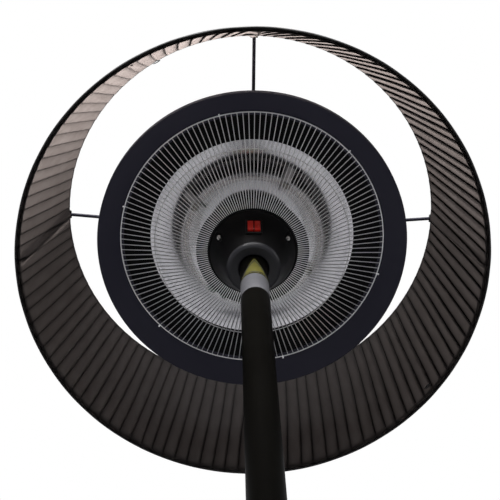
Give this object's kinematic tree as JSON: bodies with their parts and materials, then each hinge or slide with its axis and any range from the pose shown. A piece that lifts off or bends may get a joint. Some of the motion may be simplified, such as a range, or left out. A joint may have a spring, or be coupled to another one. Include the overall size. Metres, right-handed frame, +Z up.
{
  "type": "outdoor heater",
  "caption": "Free-standing electric patio heater: round head with radial wire guard, reflector and rocker switch on a pole, with a pleated fabric lampshade hung round it.",
  "frame": {"origin": "on the ground, on the pole's axis, at the bottom centre of the bounding box", "axes": "+Z up the pole, -Y towards the side of the switch, +X to the right seen from the switch side"},
  "size_m": [0.7389, 0.739, 2.1028],
  "materials": {
    "black_powder_coat": "satin",
    "cast_iron": "rough",
    "zinc_steel": "satin",
    "bright_wire": "polished",
    "reflector_aluminium": "polished",
    "heating_tube": "satin",
    "ceramic": "matte",
    "black_plastic": "satin",
    "grey_plastic": "satin",
    "red_plastic": "glossy",
    "pale_plastic": "matte",
    "cable_jacket": "matte",
    "foot_rubber": "matte",
    "silver_label": "satin",
    "yellow_label": "satin",
    "shade_cloth": "pleated satin weave"
  },
  "bodies": {
    "stand": {"rubber_feet": "foot_rubber", "flange_bolts": "zinc_steel", "base_plate": "cast_iron", "pole_flange": "zinc_steel", "base_cover": "black_powder_coat", "base_collar": "black_plastic", "pole_sleeves": "zinc_steel", "pole_screws": "zinc_steel", "lower_pole": "black_powder_coat", "middle_pole": "black_powder_coat", "upper_pole": "black_powder_coat", "cable_gland": "black_plastic", "supply_cable": "cable_jacket", "label_band": "silver_label", "warning_sticker": "yellow_label", "switch_housing": "black_plastic", "housing_screws": "zinc_steel", "housing_collar": "grey_plastic", "mounting_plate": "black_powder_coat", "switch_bezel": "black_plastic", "rocker_pin": "zinc_steel", "switch_body": "black_plastic", "pole_socket": "zinc_steel", "centre_stem": "zinc_steel", "stem_nuts": "zinc_steel", "terminal_block": "pale_plastic", "tip_over_switch": "black_plastic", "thermal_cutout": "zinc_steel", "lead_wires": "pale_plastic", "heating_element": "heating_tube", "element_end_caps": "ceramic", "element_holders": "zinc_steel", "reflector_dish": "reflector_aluminium", "rim_bezel": "black_powder_coat", "rim_screws": "zinc_steel", "head_shell": "black_powder_coat", "inner_pan": "black_powder_coat", "guard_wires": "bright_wire", "guard_outer_ring": "bright_wire", "guard_middle_ring": "bright_wire", "guard_clips": "black_powder_coat"},
    "shade": {"shade_spokes": "black_powder_coat", "shade_struts": "black_powder_coat", "spoke_clips": "black_plastic", "shade_top_ring": "black_powder_coat", "shade_bottom_ring": "black_powder_coat", "shade_hub": "black_powder_coat", "shade_fabric": "shade_cloth"},
    "knob": {"shade_knob": "black_plastic"},
    "rocker_left": {"rocker_left": "red_plastic"},
    "rocker_right": {"rocker_right": "red_plastic"}
  },
  "joints": [
    {"name": "shade_lift", "type": "slide", "parent": "stand", "child": "shade", "axis": [0, 0, 1], "range_m": [0, 0.25]},
    {"name": "knob_turn", "type": "hinge", "parent": "shade", "child": "knob", "pos_m": [0, 0, 2.045], "axis": [0, 0, 1], "continuous": true},
    {"name": "rocker_left_tilt", "type": "hinge", "parent": "stand", "child": "rocker_left", "pos_m": [-0.005, -0.05169, 1.87954], "axis": [1, 0, 0], "range_deg": [0, 16]},
    {"name": "rocker_right_tilt", "type": "hinge", "parent": "stand", "child": "rocker_right", "pos_m": [0.005, -0.05169, 1.87954], "axis": [1, 0, 0], "range_deg": [0, 16]}
  ]
}
